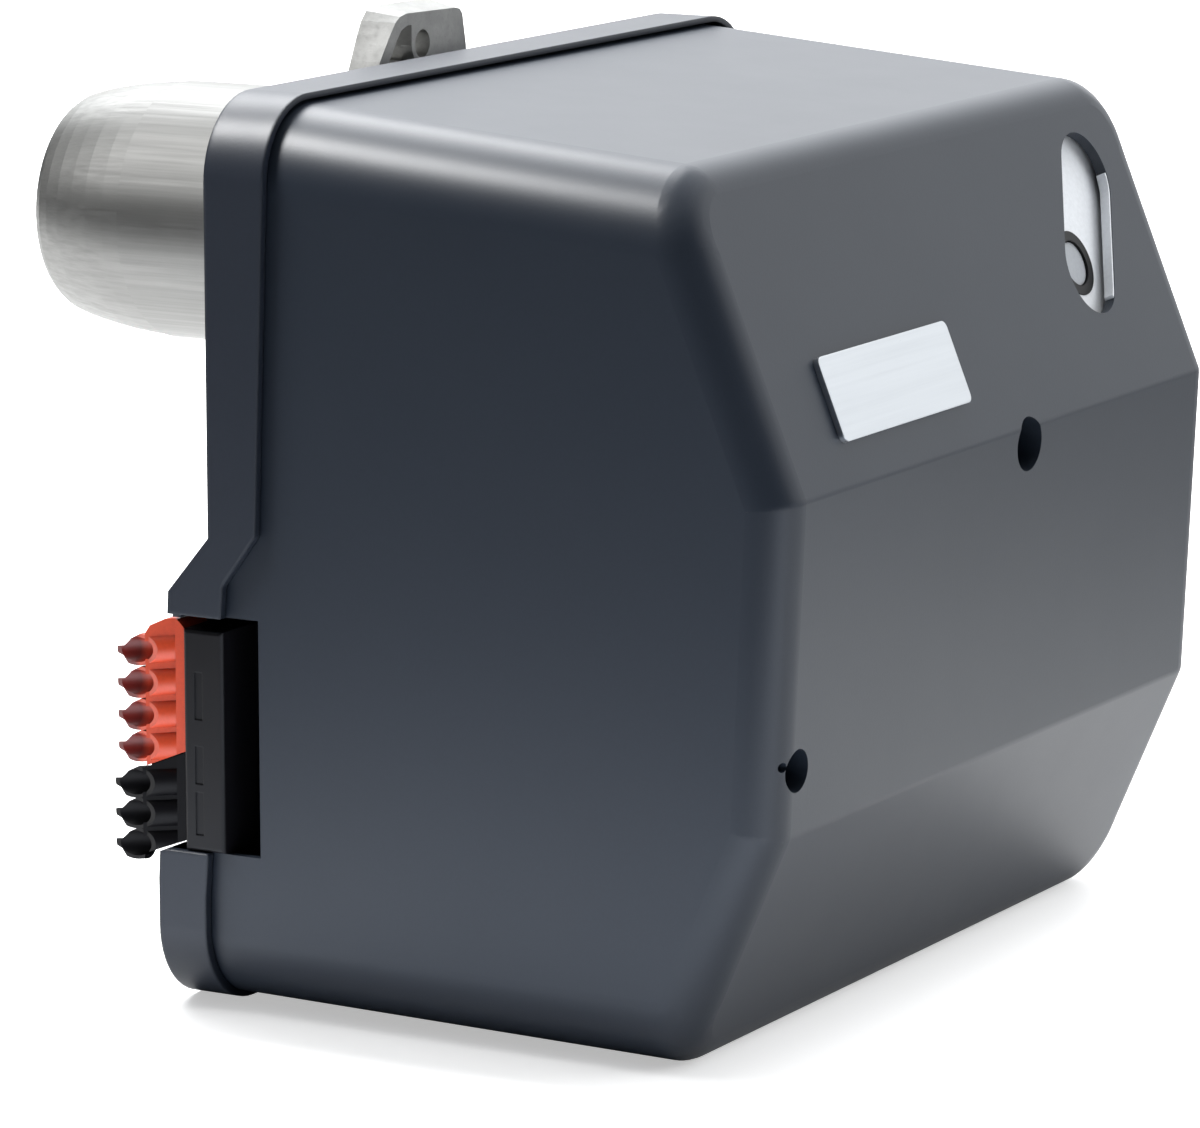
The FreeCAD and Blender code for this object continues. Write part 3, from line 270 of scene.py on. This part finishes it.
def cast(name, colour, rough, edge, metallic=1.0, depth=0.00012):
    """Sand or die-cast metal: pebbled skin, darker in its hollows."""
    t = Tree(name)
    skin = t.noise(520.0, 5.0, 0.7)
    lumps = t.noise(90.0, 4.0, 0.6)
    c = t.ramp(lumps, [(0.3, scaled(colour, 0.82)), (0.7, scaled(colour, 1.1))])
    c = t.mix(t.remap(skin, 0.4, 0.0, 0.3, 0.5), c, scaled(colour, 0.5))
    t.set(Base_Color=c, Metallic=metallic, Roughness=t.remap(skin, rough - 0.08, rough + 0.12))
    n = t.edge_round(edge) if edge else None
    n = t.bump(lumps, 0.3, depth * 2, n)
    t.set(Normal=t.bump(skin, 0.5, depth, n))
    return t


MATS["cast_aluminium"] = cast("die_cast_aluminium", rgb(176, 178, 180), 0.46, 0.0008).mat
MATS["cast_flange"] = cast("cast_flange", rgb(172, 172, 170), 0.48, 0.0, depth=0.0001).mat

t = Tree("motor_enamel")
c0 = rgb(52, 56, 60)
t.set(Base_Color=t.ramp(t.noise(60.0, 4.0), [(0.3, scaled(c0, 0.85)), (0.7, scaled(c0, 1.15))]), Roughness=t.remap(t.noise(200.0), 0.3, 0.42), IOR=1.5)
t.set(Normal=t.bump(t.noise(300.0, 3.0), 0.4, 0.0001, t.edge_round(0.0008)))
MATS["motor_paint"] = t.mat

t = Tree("stator_laminations")
w = t.n("ShaderNodeTexWave", wave_type="BANDS", bands_direction="X")
w.inputs["Scale"].default_value = 300.0
w.inputs["Distortion"].default_value = 0.3
t.link(t.coord.outputs["Object"], w.inputs["Vector"])
t.set(Base_Color=t.ramp(w.outputs["Fac"], [(0.2, rgb(70, 70, 74)), (0.8, rgb(128, 128, 132))]), Metallic=0.9, Roughness=t.remap(t.noise(150.0), 0.4, 0.55))
t.set(Normal=t.bump(w.outputs["Fac"], 0.4, 0.0001))
MATS["stator_iron"] = t.mat

t = Tree("glazed_ceramic")
c0 = rgb(232, 226, 214)
t.set(Base_Color=t.ramp(t.noise(80.0, 4.0), [(0.3, scaled(c0, 0.92)), (0.7, scaled(c0, 1.03))]), Roughness=t.remap(t.noise(60.0), 0.14, 0.24), IOR=1.52)
t.set(Normal=t.bump(t.noise(120.0, 2.0), 0.2, 0.0001, t.edge_round(0.0004)))
MATS["ceramic"] = t.mat

slot_of = {n: m for n, o in NODES.items() for m in [o.material_slots[0].material.name if o.material_slots and o.material_slots[0].material else ""]}
for n, o in NODES.items():
    key = slot_of[n].split(".")[0]
    mat = MATS.get(key) or MATS["black_plastic"]
    for s in o.material_slots:
        s.material = mat


# ------------------------------------------------------------------ studio
def area(name, at, to, size, size_y, power, colour=(1, 1, 1), glossy=True):
    l = bpy.data.lights.new(name, "AREA")
    l.shape = "RECTANGLE"
    l.size, l.size_y = size, size_y
    l.energy = power
    l.color = colour
    o = bpy.data.objects.new(name, l)
    o.location = at
    o.rotation_euler = (Vector(to) - Vector(at)).to_track_quat("-Z", "Y").to_euler()
    o.visible_camera = False
    o.visible_glossy = glossy
    scene.collection.objects.link(o)
    return o


area("overhead_a", (0.45, 0.2, 2.1), (0.25, 0.1, 0.0), 3.0, 2.4, 66.0, glossy=False)
area("overhead_b", (2.9, 1.6, 2.4), (2.9, 1.6, 0.0), 3.4, 3.0, 150.0, glossy=False)
area("front_soft", (1.2, -1.9, 0.7), (0.0, -0.15, -0.05), 1.4, 1.1, 20.0, glossy=False)


# a softbox that only the metal in front of the casing gets
tube_soft = area("tube_soft", (-0.98, 0.95, 1.37), (0.0, 0.05, 0.0), 1.2, 2.0, 19.0)
only = bpy.data.collections.new("tube_soft_receivers")
for n in ("blast_tube", "end_cone", "flange"):
    only.objects.link(NODES[n])
tube_soft.light_linking.receiver_collection = only

# two strips that only the casing gets: they draw the bright line round its upper edges
casing_only = bpy.data.collections.new("strip_receivers")
for n in ("front_cover", "rear_casing"):
    casing_only.objects.link(NODES[n])
EDGE_AT = Vector((-0.14, -0.03, 0.03))
for k, (towards, w, h, power) in enumerate((((0.45, 0.4845, 0.74), 0.5, 0.3, 4.0), ((-0.3, 0.4845, 0.82), 0.35, 0.25, 17.0))):
    strip = area("edge_strip_%d" % (k + 1), EDGE_AT + Vector(towards).normalized(), EDGE_AT, w, h, power)
    strip.light_linking.receiver_collection = casing_only


class Sky:
    """World shader: a dim room with soft panels at given directions."""

    def __init__(self):
        self.w = bpy.data.worlds.new("studio")
        scene.world = self.w
        self.w.use_nodes = True
        self.t = self.w.node_tree
        self.t.nodes.clear()
        self.vec = self.t.nodes.new("ShaderNodeTexCoord").outputs["Generated"]
        self.total = None

    def value(self, v):
        n = self.t.nodes.new("ShaderNodeValue")
        n.outputs[0].default_value = v
        return n.outputs[0]

    def add(self, s):
        if self.total is None:
            self.total = s
            return
        m = self.t.nodes.new("ShaderNodeMath")
        m.operation = "ADD"
        self.t.links.new(self.total, m.inputs[0])
        self.t.links.new(s, m.inputs[1])
        self.total = m.outputs[0]

    def panel(self, direction, lo, hi, strength):
        """Soft panel round a direction, from the cosine lo at its edge to hi at full strength."""
        d = self.t.nodes.new("ShaderNodeVectorMath")
        d.operation = "DOT_PRODUCT"
        self.t.links.new(self.vec, d.inputs[0])
        d.inputs[1].default_value = Vector(direction).normalized()
        m = self.t.nodes.new("ShaderNodeMapRange")
        m.interpolation_type = "SMOOTHSTEP"
        m.inputs["From Min"].default_value = lo
        m.inputs["From Max"].default_value = hi
        m.inputs["To Min"].default_value = 0.0
        m.inputs["To Max"].default_value = strength
        self.t.links.new(d.outputs["Value"], m.inputs["Value"])
        self.add(m.outputs["Result"])

    def close(self, colour, seen):
        bg = self.t.nodes.new("ShaderNodeBackground")
        bg.inputs["Color"].default_value = colour
        self.t.links.new(self.total, bg.inputs["Strength"])
        plain = self.t.nodes.new("ShaderNodeBackground")
        plain.inputs["Color"].default_value = (1, 1, 1, 1)
        plain.inputs["Strength"].default_value = seen
        lp = self.t.nodes.new("ShaderNodeLightPath")
        mx = self.t.nodes.new("ShaderNodeMixShader")
        self.t.links.new(lp.outputs["Is Camera Ray"], mx.inputs[0])
        self.t.links.new(bg.outputs[0], mx.inputs[1])
        self.t.links.new(plain.outputs[0], mx.inputs[2])
        out = self.t.nodes.new("ShaderNodeOutputWorld")
        self.t.links.new(mx.outputs[0], out.inputs["Surface"])


sky = Sky()
sky.add(sky.value(0.06))
sky.panel((0.80, 0.455, 0.28), 0.80, 0.97, 1.8)      # behind, to the right, low
sky.panel((0.44, 0.48, 0.76), 0.90, 0.97, 4.2)       # behind, to the right, high
sky.panel((0.85, -0.49, 0.22), 0.45, 0.92, 1.25)     # front right
sky.panel((0.05, 0.1, 1.0), 0.55, 0.95, 0.5)         # ceiling
sky.close((0.97, 0.985, 1.0, 1.0), 0.98)

bm = bmesh.new()
bmesh.ops.create_grid(bm, x_segments=8, y_segments=8, size=9.0)
me = bpy.data.meshes.new("floor")
bm.to_mesh(me)
bm.free()
floor = bpy.data.objects.new("floor", me)
floor.location = (0, 0, FLOOR_Z)
scene.collection.objects.link(floor)
t = Tree("floor_paper")
paper = t.ramp(t.noise(3.0), [(0.3, (0.86, 0.86, 0.86, 1)), (0.7, (0.9, 0.9, 0.9, 1))])
# painted shade: for reflection and bounce rays the paper's colour is darkened towards its left end, so what the object
# mirrors there is dim; the camera sees it evenly white
sep = t.n("ShaderNodeSeparateXYZ")
t.link(t.coord.outputs["Object"], sep.inputs[0])
fall = t.n("ShaderNodeMapRange", interpolation_type="SMOOTHSTEP")
fall.inputs["From Min"].default_value = -0.62
fall.inputs["From Max"].default_value = -0.24
fall.inputs["To Min"].default_value = 0.06
fall.inputs["To Max"].default_value = 1.0
t.link(sep.outputs["X"], fall.inputs["Value"])
lp = t.n("ShaderNodeLightPath")
# painted shade: for the same rays it also darkens far out to the front right
far = t.n("ShaderNodeMapRange", interpolation_type="SMOOTHSTEP")
far.inputs["From Min"].default_value = 0.2
far.inputs["From Max"].default_value = 1.0
far.inputs["To Min"].default_value = 1.0
far.inputs["To Max"].default_value = 0.22
t.link(t.math("SUBTRACT", t.math("MULTIPLY", sep.outputs["X"], 0.87), t.math("MULTIPLY", sep.outputs["Y"], 0.5)), far.inputs["Value"])
seen = t.math("MAXIMUM", t.math("MULTIPLY", fall.outputs["Result"], far.outputs["Result"]), lp.outputs["Is Camera Ray"])
shade = t.n("ShaderNodeCombineColor")
for k in range(3):
    t.link(seen, shade.inputs[k])
t.set(Base_Color=t.mix(1.0, paper, shade.outputs[0], "MULTIPLY"), Roughness=0.7)
# painted light: what reflection and bounce rays get from the paper's emission is tinted blue; the camera sees a neutral
# white
t.link(t.mix(lp.outputs["Is Camera Ray"], (0.84, 0.96, 1.15, 1), (1, 1, 1, 1)), t.b.inputs["Emission Color"])
# painted light: to reflection and bounce rays the paper just left of the object glows, lighting the object's left side
# from below; the glow fades out further left and towards the rear
near = t.n("ShaderNodeMapRange", interpolation_type="SMOOTHSTEP")
near.inputs["From Min"].default_value = -0.13
near.inputs["From Max"].default_value = -0.24
near.inputs["To Min"].default_value = 0.0
near.inputs["To Max"].default_value = 1.6
t.link(sep.outputs["X"], near.inputs["Value"])
behind = t.n("ShaderNodeMapRange", interpolation_type="SMOOTHSTEP")
behind.inputs["From Min"].default_value = 0.16
behind.inputs["From Max"].default_value = 0.03
t.link(sep.outputs["Y"], behind.inputs["Value"])
painted_bounce_glow = t.math("MULTIPLY", t.math("MULTIPLY", near.outputs["Result"], fall.outputs["Result"]), behind.outputs["Result"])
cam_glow = t.math("MULTIPLY", lp.outputs["Is Camera Ray"], 0.46)
t.set(Emission_Strength=t.math("MAXIMUM", painted_bounce_glow, cam_glow))
me.materials.append(t.mat)

scene.view_settings.view_transform = "Standard"
scene.view_settings.look = "None"
scene.view_settings.exposure = 0.0
scene.view_settings.gamma = 1.0

bpy.context.view_layer.update()
